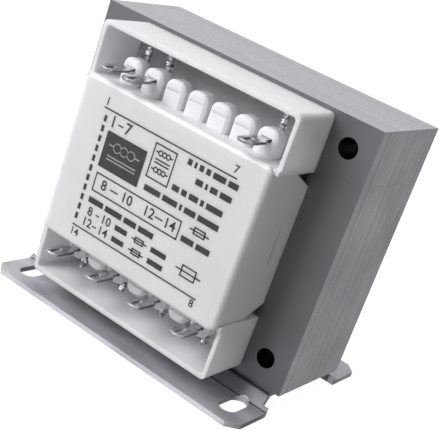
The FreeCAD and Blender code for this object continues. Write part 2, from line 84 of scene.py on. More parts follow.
def deselect_all() -> None:
    """Leave nothing selected, so that an operator acts on the new piece alone."""
    if bpy.context.mode != "OBJECT":
        bpy.ops.object.mode_set(mode="OBJECT")
    bpy.ops.object.select_all(action="DESELECT")


def pick(piece: bpy.types.Object) -> None:
    """Make one piece the only selected and the active one."""
    deselect_all()
    piece.select_set(True)
    bpy.context.view_layer.objects.active = piece


@contextmanager
def editing(piece: bpy.types.Object) -> Iterator[None]:
    """Hold one piece in edit mode for as long as the block runs."""
    pick(piece)
    bpy.ops.object.mode_set(mode="EDIT")
    yield
    bpy.ops.object.mode_set(mode="OBJECT")


def choose_faces(piece: bpy.types.Object, wanted: Callable[[bpy.types.MeshPolygon], bool]) -> None:
    """Select the faces of a piece that pass a test, and nothing else.

    Args:
        piece: the piece.
        wanted: says of a face whether it is selected.
    """
    with editing(piece):
        bpy.ops.mesh.select_mode(type="FACE")
        bpy.ops.mesh.select_all(action="DESELECT")
    for face in piece.data.polygons:
        face.select = wanted(face)


def face_outwards(piece: bpy.types.Object) -> None:
    """Turn every face of a piece outwards."""
    with editing(piece):
        bpy.ops.mesh.select_all(action="SELECT")
        bpy.ops.mesh.normals_make_consistent(inside=False)


def settle(piece: bpy.types.Object) -> bpy.types.Object:
    """Move a piece's place, turn and scale into its mesh.

    Args:
        piece: a mesh object.

    Returns:
        The same object, at the origin.
    """
    pick(piece)
    bpy.ops.object.transform_apply(location=True, rotation=True, scale=True)
    return piece


def apply_all(piece: bpy.types.Object) -> bpy.types.Object:
    """Apply every modifier of a piece, in order.

    Args:
        piece: a mesh object with modifiers.

    Returns:
        The same object, with a plain mesh.
    """
    pick(piece)
    for modifier in list(piece.modifiers):
        bpy.ops.object.modifier_apply(modifier=modifier.name)
    return piece


def add_box(name: str, low: Vector, high: Vector) -> bpy.types.Object:
    """A cuboid between two corners.

    Args:
        name: the piece's name.
        low: lowest corner, in metres.
        high: highest corner, in metres.

    Returns:
        The new object, at the origin.
    """
    deselect_all()
    low, high = Vector(low), Vector(high)
    bpy.ops.mesh.primitive_cube_add(size=1.0, location=(low + high) / 2)
    piece = bpy.context.object
    piece.name = name
    piece.scale = high - low
    return settle(piece)


def add_rod(name: str, centre: Vector, radius: float, length: float, sides: int) -> bpy.types.Object:
    """A round rod that lies along Y.

    Args:
        name: the piece's name.
        centre: middle of the rod, in metres.
        radius: its radius.
        length: its length.
        sides: how many sides stand for the round.

    Returns:
        The new object, at the origin.
    """
    deselect_all()
    bpy.ops.mesh.primitive_cylinder_add(
        vertices=sides, radius=radius, depth=length, location=centre, rotation=UPRIGHT
    )
    piece = bpy.context.object
    piece.name = name
    return settle(piece)


def cut_with(piece: bpy.types.Object, tools: list[bpy.types.Object]) -> bpy.types.Object:
    """Cut the tools out of a piece and remove them.

    Args:
        piece: the piece that is cut.
        tools: closed meshes.

    Returns:
        The piece.
    """
    for tool in tools:
        cut = piece.modifiers.new("cut", "BOOLEAN")
        cut.operation = "DIFFERENCE"
        cut.solver = "EXACT"
        cut.object = tool
    apply_all(piece)
    for tool in tools:
        bpy.data.objects.remove(tool)
    return piece


def join(name: str, pieces: list[bpy.types.Object]) -> bpy.types.Object:
    """Join several meshes into one object.

    Args:
        name: the name of the result.
        pieces: mesh objects.

    Returns:
        The joined object.
    """
    deselect_all()
    for piece in pieces:
        piece.select_set(True)
    bpy.context.view_layer.objects.active = pieces[0]
    bpy.ops.object.join()
    whole = bpy.context.object
    whole.name = name
    return whole


def smooth(piece: bpy.types.Object, degrees: float = 40.0) -> None:
    """Shade a piece smooth across edges up to an angle in degrees."""
    pick(piece)
    bpy.ops.object.shade_smooth_by_angle(angle=math.radians(degrees))


def softened_copy(node: str, name: str, width: float, sharper_than: float = 50.0) -> bpy.types.Object:
    """A copy of a CAD node with its sharp edges rounded, which stands for the node.

    Args:
        node: the CAD node.
        name: the new piece's name.
        width: the rounding, in metres.
        sharper_than: the angle between faces, in degrees, above which an edge is rounded.

    Returns:
        The new piece.
    """
    pick(frame["nodes"][node])
    bpy.ops.object.duplicate()
    piece = bpy.context.object
    piece.name = name
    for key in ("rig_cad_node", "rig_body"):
        if key in piece:
            del piece[key]
    piece.parent = None
    with editing(piece):
        bpy.ops.mesh.select_all(action="SELECT")
        bpy.ops.mesh.remove_doubles(threshold=MERGE_REACH)
        bpy.ops.mesh.dissolve_limited(angle_limit=FLAT_ANGLE)
    rounding = piece.modifiers.new("rounding", "BEVEL")
    rounding.width = width
    rounding.segments = 2
    rounding.limit_method = "ANGLE"
    rounding.angle_limit = math.radians(sharper_than)
    rounding.use_clamp_overlap = True
    apply_all(piece)
    smooth(piece)
    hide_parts(node)
    return piece


def even_shading(piece: bpy.types.Object) -> None:
    """Keep the large flat faces of a rounded piece flat in shading."""
    weights = piece.modifiers.new("face weights", "WEIGHTED_NORMAL")
    weights.keep_sharp = True
    weights.weight = 100
    apply_all(piece)


def finish_piece(piece: bpy.types.Object, material: bpy.types.Material) -> None:
    """Give a piece its material and its body, and report it.

    Args:
        piece: the finished piece.
        material: its material.
    """
    piece.data.materials.clear()
    piece.data.materials.append(material)
    if "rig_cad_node" not in piece:
        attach(piece, BODY)
    LOG.info("piece %s: %d faces", piece.name, len(piece.data.polygons))


def maths(
    tree: bpy.types.NodeTree,
    operation: str,
    first: bpy.types.NodeSocket,
    second: bpy.types.NodeSocket | float | None = None,
) -> bpy.types.NodeSocket:
    """Place one sum of one or two values in a node tree.

    Args:
        tree: the nodes.
        operation: the Math node's operation.
        first: the first value's socket.
        second: the second value, as a socket or a plain number, or None.

    Returns:
        The result's socket.
    """
    node = tree.nodes.new("ShaderNodeMath")
    node.operation = operation
    tree.links.new(first, node.inputs[0])
    if isinstance(second, bpy.types.NodeSocket):
        tree.links.new(second, node.inputs[1])
    elif second is not None:
        node.inputs[1].default_value = second
    return node.outputs["Value"]


class SharedGroup:
    """A shader node group in the making, with its named sockets in place."""

    def __init__(
        self, name: str, values: tuple[str, ...], result: str, vectors: tuple[str, ...] = ()
    ) -> None:
        """Make the group and its sockets.

        Args:
            name: the group's name.
            values: names of its plain inputs.
            result: name of its one output.
            vectors: names of its vector inputs.
        """
        self.tree = bpy.data.node_groups.new(name, "ShaderNodeTree")
        for kind, names in (("NodeSocketVector", vectors), ("NodeSocketFloat", values)):
            for socket in names:
                self.tree.interface.new_socket(name=socket, in_out="INPUT", socket_type=kind)
        self.tree.interface.new_socket(name=result, in_out="OUTPUT", socket_type="NodeSocketFloat")
        self.given = self.tree.nodes.new("NodeGroupInput").outputs
        self.result = self.tree.nodes.new("NodeGroupOutput").inputs[result]

    def add(self, kind: str, operation: str | None = None) -> bpy.types.Node:
        """Place a node, and set its operation where it has one."""
        node = self.tree.nodes.new(kind)
        if operation is not None:
            node.operation = operation
        return node

    def link(self, source: bpy.types.NodeSocket, target: bpy.types.NodeSocket) -> None:
        """Join two sockets."""
        self.tree.links.new(source, target)

    def finish(self, value: bpy.types.NodeSocket) -> bpy.types.ShaderNodeTree:
        """Put a value out and give the finished group."""
        self.link(value, self.result)
        return self.tree


def grain_group() -> bpy.types.ShaderNodeTree:
    """Stretched noise in object space, between two values.

    Returns:
        The group: Stretch, Scale, Detail, Low and High in, Value out.
    """
    group = SharedGroup("stretched_grain", ("Scale", "Detail", "Low", "High"), "Value", ("Stretch",))
    place = group.add("ShaderNodeTexCoord")
    stretch = group.add("ShaderNodeVectorMath", "MULTIPLY")
    noise = group.add("ShaderNodeTexNoise")
    span = group.add("ShaderNodeMapRange")
    span.inputs["From Min"].default_value = 0.32
    span.inputs["From Max"].default_value = 0.68
    group.link(place.outputs["Object"], stretch.inputs[0])
    group.link(group.given["Stretch"], stretch.inputs[1])
    group.link(stretch.outputs["Vector"], noise.inputs["Vector"])
    group.link(group.given["Scale"], noise.inputs["Scale"])
    group.link(group.given["Detail"], noise.inputs["Detail"])
    group.link(noise.outputs["Fac"], span.inputs["Value"])
    group.link(group.given["Low"], span.inputs["To Min"])
    group.link(group.given["High"], span.inputs["To Max"])
    return group.finish(span.outputs["Result"])


def edge_group() -> bpy.types.ShaderNodeTree:
    """A mask of worn, exposed edges from the surface's own curvature.

    Returns:
        The group: Amount in, Mask out.
    """
    group = SharedGroup("edge_mask", ("Amount",), "Mask")
    geometry = group.add("ShaderNodeNewGeometry")
    span = group.add("ShaderNodeMapRange")
    span.inputs["From Min"].default_value = 0.5
    span.inputs["From Max"].default_value = 0.6
    group.link(geometry.outputs["Pointiness"], span.inputs["Value"])
    return group.finish(maths(group.tree, "MULTIPLY", span.outputs["Result"], group.given["Amount"]))


def direction_shade_group() -> bpy.types.ShaderNodeTree:
    """Painted light and shade: a brightness for each main direction that a surface faces, less on faces
    sloped between front and top, which is painted shadow.

    Returns:
        The group: Side, Front, Top and Slope in, Value out.
    """
    group = SharedGroup("painted_light_by_direction", ("Side", "Front", "Top", "Slope"), "Value")
    geometry = group.add("ShaderNodeNewGeometry")
    square = group.add("ShaderNodeVectorMath", "MULTIPLY")
    axis_shade_levels = group.add("ShaderNodeCombineXYZ")
    total = group.add("ShaderNodeVectorMath", "DOT_PRODUCT")
    parts = group.add("ShaderNodeSeparateXYZ")
    for socket in square.inputs[:2]:
        group.link(geometry.outputs["True Normal"], socket)
    for axis, name in zip("XYZ", ("Side", "Front", "Top")):
        group.link(group.given[name], axis_shade_levels.inputs[axis])
    group.link(square.outputs["Vector"], total.inputs[0])
    group.link(axis_shade_levels.outputs["Vector"], total.inputs[1])
    group.link(square.outputs["Vector"], parts.inputs["Vector"])
    # Painted shadow: faces leaning between front and top lose brightness by the given amount.
    lean = maths(group.tree, "MULTIPLY", parts.outputs["Y"], parts.outputs["Z"])
    shade = maths(group.tree, "MULTIPLY", lean, group.given["Slope"])
    loss = maths(group.tree, "MULTIPLY", maths(group.tree, "MULTIPLY", shade, 4.0), total.outputs["Value"])
    return group.finish(maths(group.tree, "SUBTRACT", total.outputs["Value"], loss))


def hole_shade_group() -> bpy.types.ShaderNodeTree:
    """A mask of four holes along Y, set out about the middle of the core, for the painted shade on the
    holes' inside walls.

    Returns:
        The group: Across, Low, High and Radius in, Mask out.
    """
    group = SharedGroup("painted_hole_shade_mask", ("Across", "Low", "High", "Radius"), "Mask")
    place = group.add("ShaderNodeTexCoord")
    split = group.add("ShaderNodeSeparateXYZ")
    group.link(place.outputs["Object"], split.inputs["Vector"])
    tree = group.tree
    across = maths(tree, "SUBTRACT", maths(tree, "ABSOLUTE", split.outputs["X"]), group.given["Across"])
    rises = [maths(tree, "SUBTRACT", split.outputs["Z"], group.given[name]) for name in ("Low", "High")]
    upward = maths(tree, "MINIMUM", *[maths(tree, "ABSOLUTE", rise) for rise in rises])
    squares = [maths(tree, "MULTIPLY", part, part) for part in (across, upward)]
    reach = maths(tree, "SQRT", maths(tree, "ADD", *squares))
    return group.finish(maths(tree, "LESS_THAN", reach, group.given["Radius"]))


GRAIN = grain_group()
EDGES = edge_group()
PAINTED_DIRECTION_SHADE = direction_shade_group()
PAINTED_HOLE_SHADE = hole_shade_group()


@dataclass(frozen=True)
class Grain:
    """One use of the stretched grain: its stretch, scale and detail."""

    stretch: tuple[float, float, float] = (1.0, 1.0, 1.0)
    scale: float = 300.0
    detail: float = 4.0


@dataclass(frozen=True)
class Finish:
    """One surface finish, in Principled terms, with grain in its colour, gloss and height, and where set,
    painted light and shade by face direction and painted shade inside the core's holes.
    """

    name: str
    dark: tuple[float, float, float]
    light: tuple[float, float, float]
    metallic: float = 0.0
    roughness: tuple[float, float] = (0.4, 0.55)
    colour_grain: Grain = field(default_factory=Grain)
    gloss_grain: Grain = field(default_factory=Grain)
    height_grain: Grain = field(default_factory=Grain)
    bump: float = 0.1
    bump_depth: float = 0.00002
    wear: float = 0.0
    worn: tuple[float, float, float] = (0.8, 0.8, 0.8)
    subsurface: float = 0.0
    coat: float = 0.0
    specular: float = 0.5
    # Painted light and shade: the colour is scaled by a brightness for each direction a face points, side,
    # front and top.
    painted_light_per_axis: tuple[float, float, float] | None = None
    # Painted shadow: how far faces sloped between front and top are darkened.
    slope: float = 0.0
    # Painted shade inside the core's holes: where the mask falls (across, low, high, radius) and the
    # near-black colour painted there.
    painted_hole_shade: tuple[float, float, float, float] | None = None
    painted_hole_shade_colour: tuple[float, float, float] = (0.003, 0.003, 0.003)

    def _grain(
        self, tree: bpy.types.NodeTree, grain: Grain, span: tuple[float, float] = (0.0, 1.0)
    ) -> bpy.types.Node:
        """Place the grain group in a material's tree.

        Args:
            tree: the material's nodes.
            grain: its stretch, scale and detail.
            span: the lowest and the highest value that it gives.

        Returns:
            The group node.
        """
        values = (grain.stretch, grain.scale, grain.detail, *span)
        return self._place(tree, GRAIN, ("Stretch", "Scale", "Detail", "Low", "High"), values)

    def make(self) -> bpy.types.Material:
        """Build the material.

        Returns:
            The new material.
        """
        material = bpy.data.materials.new(self.name)
        material.use_nodes = True
        tree = material.node_tree
        shader = tree.nodes["Principled BSDF"]
        shader.inputs["Metallic"].default_value = self.metallic
        shader.inputs["Subsurface Weight"].default_value = self.subsurface
        shader.inputs["Subsurface Scale"].default_value = 0.002
        shader.inputs["Subsurface Radius"].default_value = (1.0, 1.0, 1.0)
        shader.inputs["Coat Weight"].default_value = self.coat
        shader.inputs["Specular IOR Level"].default_value = self.specular
        colour = self._colour(tree)
        tree.links.new(colour, shader.inputs["Base Color"])
        gloss = self._grain(tree, self.gloss_grain, self.roughness)
        tree.links.new(gloss.outputs["Value"], shader.inputs["Roughness"])
        bump = tree.nodes.new("ShaderNodeBump")
        bump.inputs["Strength"].default_value = self.bump
        bump.inputs["Distance"].default_value = self.bump_depth
        height = self._grain(tree, self.height_grain)
        tree.links.new(height.outputs["Value"], bump.inputs["Height"])
        tree.links.new(bump.outputs["Normal"], shader.inputs["Normal"])
        return material

    def _colour(self, tree: bpy.types.NodeTree) -> bpy.types.NodeSocket:
        """Mix the colours by the grain and the wear, scale them by the painted light and shade of each
        face's direction, and paint shade inside the core's holes.

        Args:
            tree: the material's nodes.

        Returns:
            The socket that carries the colour.
        """
        grain = self._grain(tree, self.colour_grain)
        base = self._mix(tree, grain.outputs["Value"], self.dark, self.light)
        if self.wear > 0.0:
            edge = self._place(tree, EDGES, ("Amount",), (self.wear,))
            base = self._mix(tree, edge.outputs["Mask"], base, self.worn)
        # Painted light and shade: scale the colour by the brightness for the direction each face points,
        # with painted shadow on sloped faces.
        if self.painted_light_per_axis is not None:
            axis_shade_levels = (*self.painted_light_per_axis, self.slope)
            level = self._place(tree, PAINTED_DIRECTION_SHADE, ("Side", "Front", "Top", "Slope"), axis_shade_levels)
            painted_shade_mix = tree.nodes.new("ShaderNodeVectorMath")
            painted_shade_mix.operation = "SCALE"
            tree.links.new(base, painted_shade_mix.inputs[0])
            tree.links.new(level.outputs["Value"], painted_shade_mix.inputs["Scale"])
            base = painted_shade_mix.outputs["Vector"]
        # Painted shade: the inside walls of the core's holes are coloured near black.
        if self.painted_hole_shade is not None:
            hole_shade = self._place(tree, PAINTED_HOLE_SHADE, ("Across", "Low", "High", "Radius"), self.painted_hole_shade)
            base = self._mix(tree, hole_shade.outputs["Mask"], base, self.painted_hole_shade_colour)
        return base

    @staticmethod
    def _place(
        tree: bpy.types.NodeTree, group: bpy.types.ShaderNodeTree, names: tuple[str, ...], values: tuple
    ) -> bpy.types.Node:
        """Place a shared group in a material's tree.

        Args:
            tree: the material's nodes.
            group: the shared group.
            names: its inputs' names.
            values: the value of each.

        Returns:
            The group node.
        """
        node = tree.nodes.new("ShaderNodeGroup")
        node.node_tree = group
        for name, value in zip(names, values):
            node.inputs[name].default_value = value
        return node

    @staticmethod
    def _mix(
        tree: bpy.types.NodeTree,
        factor: bpy.types.NodeSocket,
        first: bpy.types.NodeSocket | tuple[float, float, float],
        second: tuple[float, float, float],
    ) -> bpy.types.NodeSocket:
        """Mix two colours by a factor.

        Args:
            tree: the material's nodes.
            factor: the socket that sets the mix.
            first: colour at factor 0, plain or from a socket.
            second: colour at factor 1.

        Returns:
            The mixed colour's socket.
        """
        mix = tree.nodes.new("ShaderNodeMix")
        mix.data_type = "RGBA"
        tree.links.new(factor, mix.inputs["Factor"])
        if isinstance(first, bpy.types.NodeSocket):
            tree.links.new(first, mix.inputs["A"])
        else:
            mix.inputs["A"].default_value = (*first, 1.0)
        mix.inputs["B"].default_value = (*second, 1.0)
        return mix.outputs["Result"]


def grey(level: float, tint: float = 0.0) -> tuple[float, float, float]:
    """A grey with a slight cool tint.

    Args:
        level: the linear level.
        tint: how much blue is added.

    Returns:
        The colour.
    """
    return (level, level, level + tint)


SHEET_EDGE = Finish(
    name="lamination_steel",
    dark=grey(0.45, 0.036),
    light=grey(0.58, 0.046),
    metallic=0.6,
    roughness=(0.36, 0.52),
    colour_grain=Grain(stretch=(0.06, 30.0, 0.06), scale=60.0, detail=3.0),
    gloss_grain=Grain(scale=120.0),
    height_grain=Grain(stretch=(1.0, 1.0, 0.12), scale=900.0, detail=5.0),
    bump=0.25,
    bump_depth=0.00001,
    wear=0.15,
    worn=grey(0.5),
    specular=0.25,
    # Painted light and shade: top lighter, front darker than the sides.
    painted_light_per_axis=(0.43, 0.26, 0.78),
    # Painted shade inside the four corner holes.
    painted_hole_shade=(25.0 * MM, 9.08 * MM, 49.08 * MM, 1.83 * MM),
)
ZINC = Finish(
    name="plate_steel",
    dark=grey(0.3, 0.024),
    light=grey(0.5, 0.036),
    metallic=0.45,
    roughness=(0.36, 0.54),
    colour_grain=Grain(stretch=(0.35, 1.0, 1.0), scale=260.0, detail=6.0),
    gloss_grain=Grain(scale=180.0, detail=5.0),
    height_grain=Grain(stretch=(0.25, 1.0, 1.0), scale=1400.0, detail=4.0),
    bump=0.2,
    bump_depth=0.00001,
    wear=0.25,
    worn=grey(0.6, 0.04),
    specular=0.15,
    # Painted light and shade: sides darker, front and top lighter, and painted shadow on the joggle's
    # sloped faces.
    painted_light_per_axis=(0.26, 1.25, 1.12),
    slope=0.98,
)
NYLON = Finish(
    name="moulded_nylon",
    dark=grey(0.75, 0.018),
    light=grey(0.81, 0.02),
    roughness=(0.34, 0.5),
    colour_grain=Grain(scale=70.0, detail=3.0),
    gloss_grain=Grain(scale=400.0, detail=4.0),
    height_grain=Grain(scale=1500.0, detail=4.0),
    bump=0.12,
    bump_depth=0.00001,
    subsurface=0.75,
)
INK = Finish(
    name="printing_ink",
    dark=grey(0.008),
    light=grey(0.02),
    roughness=(0.5, 0.65),
    colour_grain=Grain(scale=900.0),
    bump=0.05,
)
TIN = Finish(
    name="tinned_lug",
    dark=grey(0.42, 0.02),
    light=grey(0.82, 0.03),
    metallic=1.0,
    roughness=(0.12, 0.3),
    colour_grain=Grain(scale=500.0, detail=5.0),
    gloss_grain=Grain(scale=700.0, detail=5.0),
    height_grain=Grain(scale=900.0, detail=3.0),
    bump=0.35,
    bump_depth=0.00003,
    wear=0.4,
    worn=grey(0.95),
    # Painted light and shade: tops lighter, sides and fronts darker.
    painted_light_per_axis=(0.3, 0.4, 1.1),
)
SOLDER = Finish(
    name="soldered_wire",
    dark=grey(0.16, 0.01),
    light=grey(0.9, 0.03),
    metallic=1.0,
    roughness=(0.08, 0.32),
    colour_grain=Grain(scale=900.0, detail=5.0),
    gloss_grain=Grain(scale=1100.0, detail=4.0),
    height_grain=Grain(scale=1300.0, detail=3.0),
    bump=0.5,
    bump_depth=0.00006,
)
COPPER = Finish(
    name="winding_copper",
    dark=(0.22, 0.07, 0.02),
    light=(0.42, 0.16, 0.06),
    metallic=0.8,
    roughness=(0.25, 0.4),
    colour_grain=Grain(stretch=(0.05, 0.05, 20.0), scale=200.0),
    height_grain=Grain(stretch=(0.02, 0.02, 12.0), scale=300.0),
    bump=0.4,
    bump_depth=0.00008,
)
TAPE = Finish(
    name="insulating_tape",
    dark=(0.62, 0.58, 0.42),
    light=(0.74, 0.7, 0.55),
    roughness=(0.22, 0.38),
    colour_grain=Grain(stretch=(0.2, 0.2, 3.0), scale=160.0, detail=4.0),
    gloss_grain=Grain(stretch=(1.0, 1.0, 0.3), scale=250.0),
    height_grain=Grain(stretch=(0.25, 0.25, 2.0), scale=240.0, detail=3.0),
    bump=0.5,
    bump_depth=0.00008,
    coat=0.2,
)
WELD = Finish(
    name="weld_metal",
    dark=grey(0.05),
    light=grey(0.3),
    metallic=0.9,
    roughness=(0.3, 0.6),
    colour_grain=Grain(stretch=(1.0, 3.0, 1.0), scale=500.0),
    height_grain=Grain(stretch=(1.0, 3.0, 1.0), scale=600.0),
    bump=0.7,
    bump_depth=0.0001,
)
LACQUER = Finish(
    name="thermistor_ceramic",
    dark=(0.05, 0.09, 0.2),
    light=(0.07, 0.13, 0.28),
    roughness=(0.25, 0.4),
    coat=0.3,
)


class Stack:
    """One lamination stack of the core, with its corners in metres."""

    def __init__(self, node: str, name: str, windows: bool) -> None:
        """Read the stack's place.

        Args:
            node: the CAD node.
            name: the name of the piece that stands for it.
            windows: True for the E sheets, which have two windows.
        """
        self.node = node
        self.name = name
        self.windows = windows
        self.low, self.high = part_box(node)


@dataclass
class LaminatedCore:
    """The E and I sheets, stacked along Y inside the CAD stacks' outlines."""

    sheet_pitch: float = 0.5 * MM
    sheet_gap: float = 0.022 * MM
    limb: float = 10.0 * MM
    hole_radius: float = 1.8 * MM
    hole_inset: float = 5.0 * MM
    hole_cut: float = 4.0 * MM
    hole_sides: int = 48
    unevenness: float = 0.022 * MM
    edge_reach: float = 0.1 * MM
    rounding_slack: float = 0.01 * MM
    seed: int = 7

    def build(self) -> None:
        """Build both stacks and dress them."""
        steel = SHEET_EDGE.make()
        for stack in (
            Stack("e_lamination_stack", "e_lamination_sheets", True),
            Stack("i_lamination_stack", "i_lamination_sheets", False),
        ):
            piece = self._repeat(self._sheet(stack), stack)
            finish_piece(piece, steel)
            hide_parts(stack.node)

    def _columns(self, stack: Stack) -> list[float]:
        """X places of a sheet's upright lines, in metres."""
        half = stack.high.x
        if not stack.windows:
            return [-half, half]
        tongue = (half - self.limb) / 2
        return [-half, self.limb - half, -tongue, tongue, half - self.limb, half]

    def _sheet(self, stack: Stack) -> bpy.types.Object:
        """Model one sheet, standing upright at the front of its stack.

        Args:
            stack: the stack that it starts.

        Returns:
            The sheet.
        """
        low, high = stack.low, stack.high
        columns = self._columns(stack)
        rows = [low.z, low.z + self.limb, high.z] if stack.windows else [low.z, high.z]
        deselect_all()
        bpy.ops.mesh.primitive_grid_add(
            x_subdivisions=len(columns) - 1, y_subdivisions=len(rows) - 1, size=1.0, rotation=UPRIGHT
        )
        sheet = settle(bpy.context.object)
        sheet.name = stack.name
        across = sorted({round(v.co.x, 6) for v in sheet.data.vertices})
        upward = sorted({round(v.co.z, 6) for v in sheet.data.vertices})
        for vertex in sheet.data.vertices:
            x = columns[across.index(round(vertex.co.x, 6))]
            z = rows[upward.index(round(vertex.co.z, 6))]
            vertex.co = (x, low.y, z)
        if stack.windows:
            inner, outer = columns[3:5]
            choose_faces(sheet, lambda face: inner < abs(face.center.x) < outer and face.center.z > rows[1])
            with editing(sheet):
                bpy.ops.mesh.delete(type="FACE")
        thickness = self.sheet_pitch - self.sheet_gap
        with editing(sheet):
            bpy.ops.mesh.select_all(action="SELECT")
            bpy.ops.mesh.extrude_region_move(TRANSFORM_OT_translate={"value": (0.0, thickness, 0.0)})
        face_outwards(sheet)
        return cut_with(sheet, self._hole_tools(stack))

    def _hole_tools(self, stack: Stack) -> list[bpy.types.Object]:
        """The two rods that cut a sheet's corner holes, near the foot of an E and the top of an I."""
        height = stack.low.z + self.hole_inset if stack.windows else stack.high.z - self.hole_inset
        tools = []
        for side in (-1, 1):
            centre = Vector((side * (stack.high.x - self.hole_inset), stack.low.y, height))
            tools.append(add_rod("hole", centre, self.hole_radius, self.hole_cut, self.hole_sides))
        return tools

    def _repeat(self, sheet: bpy.types.Object, stack: Stack) -> bpy.types.Object:
        """Repeat a sheet through its stack and let each sit a hair back from the outline.

        Args:
            sheet: the first sheet.
            stack: the stack that it fills.

        Returns:
            The sheets as one piece.
        """
        low, high = stack.low, stack.high
        count = round((high.y - low.y) / self.sheet_pitch)
        repeat = sheet.modifiers.new("stack", "ARRAY")
        repeat.count = count
        repeat.use_relative_offset = False
        repeat.use_constant_offset = True
        repeat.constant_offset_displace = (0.0, self.sheet_pitch, 0.0)
        apply_all(sheet)
        draws = random.Random(self.seed)
        setbacks = [[draws.random() * self.unevenness for _ in range(4)] for _ in range(count)]
        for vertex in sheet.data.vertices:
            place = int((vertex.co.y - low.y + self.rounding_slack) / self.sheet_pitch)
            left, right, down, up = setbacks[min(max(place, 0), count - 1)]
            if vertex.co.x > high.x - self.edge_reach:
                vertex.co.x -= right
            elif vertex.co.x < low.x + self.edge_reach:
                vertex.co.x += left
            if vertex.co.z > high.z - self.edge_reach:
                vertex.co.z -= up
            elif vertex.co.z < low.z + self.edge_reach:
                vertex.co.z += down
        return sheet


@dataclass
class MountingPlate:
    """The joggled steel plate with its slotted feet, and the weld beads under the core."""

    edge_round: float = 0.12 * MM

    def build(self) -> None:
        """Dress the plate and its welds."""
        plate = softened_copy("mounting_plate", "foot_plate", self.edge_round)
        even_shading(plate)
        finish_piece(plate, ZINC.make())
        finish_piece(frame["nodes"]["plate_welds"], WELD.make())


@dataclass
class Mouldings:
    """The coil former with its terminal boxes, and the winding cover."""

    rim_round: float = 0.22 * MM
    cover_round: float = 0.12 * MM
    pin_pitch: float = 4.95 * MM
    peg_face: float = -17.2 * MM
    groove: Vector = field(default_factory=lambda: Vector((2.9, 0.56, 0.36)) * MM)
    lug_planes: tuple[float, float] = (46.58 * MM, 11.58 * MM)
    free_pins: tuple[tuple[int, ...], tuple[int, ...]] = ((-1, 0, 1, 2), (-2, 0, 2))
    back_reach: float = 20.1 * MM
    back_faces: tuple[float, float] = (-9.4 * MM, -8.82 * MM)
    back_heights: tuple[tuple[float, float], ...] = ((43.8 * MM, 52.52 * MM), (5.64 * MM, 14.36 * MM))
    back_border: float = 1.1 * MM
    back_recess: float = 0.2 * MM

    def build(self, nylon: bpy.types.Material) -> None:
        """Round the mouldings' sharp rims, mark the free pegs and dress both.

        Args:
            nylon: their material.
        """
        former = softened_copy("coil_former", "terminal_former", self.rim_round, sharper_than=35.0)
        tools = []
        for plane, pins in zip(self.lug_planes, self.free_pins):
            for pin in pins:
                middle = Vector((pin * self.pin_pitch, self.peg_face, plane))
                tools.append(add_box("groove", middle - self.groove / 2, middle + self.groove / 2))
        cut_with(former, tools)
        even_shading(former)
        finish_piece(former, nylon)
        cover = softened_copy("winding_cover", "front_cover", self.cover_round)
        even_shading(cover)
        finish_piece(cover, nylon)
        for row, heights in zip(Row, self.back_heights):
            finish_piece(self._back_wall(row, heights), nylon)

    def _back_wall(self, row: Row, heights: tuple[float, float]) -> bpy.types.Object:
        """The thin wall that closes a terminal box at the core, with a recessed field.

        Args:
            row: which box it closes.
            heights: its lowest and highest level, in metres.

        Returns:
            The wall.
        """
        front, back = self.back_faces
        low = Vector((-self.back_reach, front, heights[0]))
        high = Vector((self.back_reach, back, heights[1]))
        wall = add_box(f"box_back_{row.name.lower()}", low, high)
        choose_faces(wall, lambda face: face.normal.y < -0.9)
        with editing(wall):
            bpy.ops.mesh.inset(thickness=self.back_border)
            bpy.ops.mesh.inset(thickness=self.back_recess, depth=-self.back_recess)
        smooth(wall)
        return wall


@dataclass
class CoilLayers:
    """The windings, their films and tapes, and the thermistor."""

    def build(self) -> None:
        """Dress each layer with its own material."""
        copper, tape = COPPER.make(), TAPE.make()
        for node in ("primary_winding", "secondary_winding_1", "secondary_winding_2"):
            finish_piece(frame["nodes"][node], copper)
        for node in ("primary_tape", "secondary_insulation", "secondary_tape"):
            finish_piece(frame["nodes"][node], tape)
        finish_piece(frame["nodes"]["thermistor"], LACQUER.make())


